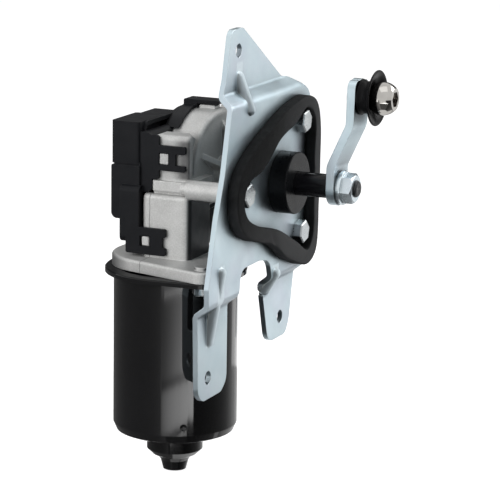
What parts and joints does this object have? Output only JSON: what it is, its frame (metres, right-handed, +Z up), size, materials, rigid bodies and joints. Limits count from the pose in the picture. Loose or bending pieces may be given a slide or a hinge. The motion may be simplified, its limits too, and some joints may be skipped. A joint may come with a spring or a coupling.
{
  "type": "wiper motor",
  "caption": "Wiper motor with a worm gearbox, joggled mounting plate, foam gasket, connector cover and a crank arm with a ball stud.",
  "frame": {"origin": "where the output shaft's axis meets the front face of the mounting plate", "axes": "+X along the output shaft, out towards the crank arm; +Z up, with the motor can hanging towards -Z; +Y to the right seen from the crank side"},
  "size_m": [0.13, 0.1181, 0.2178],
  "materials": {
    "zinc_plate": "bluish zinc plating",
    "foam": "closed-cell foam, matte",
    "bolt_steel": "bright zinc plating",
    "cast_aluminium": "sand textured casting",
    "black_plastic": "fine matte moulding",
    "seal_rubber": "matte",
    "tinned_copper": "tinned",
    "contact_brass": "satin",
    "wheel_plastic": "natural acetal",
    "shaft_steel": "ground",
    "sintered_bronze": "oiled, matte",
    "cap_plastic": "semi gloss",
    "can_paint": "gloss black",
    "ferrite": "matte",
    "core_steel": "stacked sheets",
    "copper_wire": "enamelled wire",
    "carbon": "pressed carbon and copper",
    "ball_chrome": "polished",
    "boot_rubber": "smooth"
  },
  "bodies": {
    "base": {"mounting_plate": "zinc_plate", "foam_gasket": "foam", "plate_bolts": "bolt_steel", "gear_housing": "cast_aluminium", "gear_cover": "black_plastic", "cover_seal": "seal_rubber", "connector_pins": "tinned_copper", "park_contacts": "contact_brass", "rear_bush": "sintered_bronze", "front_bush": "sintered_bronze", "shaft_seal": "seal_rubber", "seal_cap": "cap_plastic", "motor_can": "can_paint", "yoke_screws": "bolt_steel", "magnets": "ferrite", "brush_holder": "black_plastic", "brushes": "carbon", "brush_springs": "shaft_steel", "chokes": "copper_wire", "worm_bearing": "shaft_steel", "top_bush": "sintered_bronze", "thrust_ball": "ball_chrome", "lower_bush": "sintered_bronze", "thrust_pad": "wheel_plastic"},
    "output": {"output_shaft": "shaft_steel", "worm_wheel": "wheel_plastic", "contact_disc": "contact_brass", "wheel_washer": "shaft_steel", "neck_shim": "shaft_steel", "shaft_clip": "shaft_steel", "shaft_sleeve": "cap_plastic", "crank_arm": "zinc_plate", "crank_washer": "bolt_steel", "crank_nut": "bolt_steel", "ball_stud": "ball_chrome", "ball_boot": "boot_rubber"},
    "armature": {"armature_shaft": "shaft_steel", "armature_core": "core_steel", "armature_winding": "copper_wire", "commutator": "copper_wire"}
  },
  "joints": [
    {"name": "output_turn", "type": "hinge", "parent": "base", "child": "output", "pos_m": [0, 0, 0], "axis": [1, 0, 0], "continuous": true},
    {"name": "armature_turn", "type": "hinge", "parent": "base", "child": "armature", "pos_m": [-0.039, -0.034, 0], "axis": [0, 0, 1], "continuous": true}
  ],
  "couplings": [
    {"joint": "armature_turn", "follows": "output_turn", "ratio": 38}
  ]
}
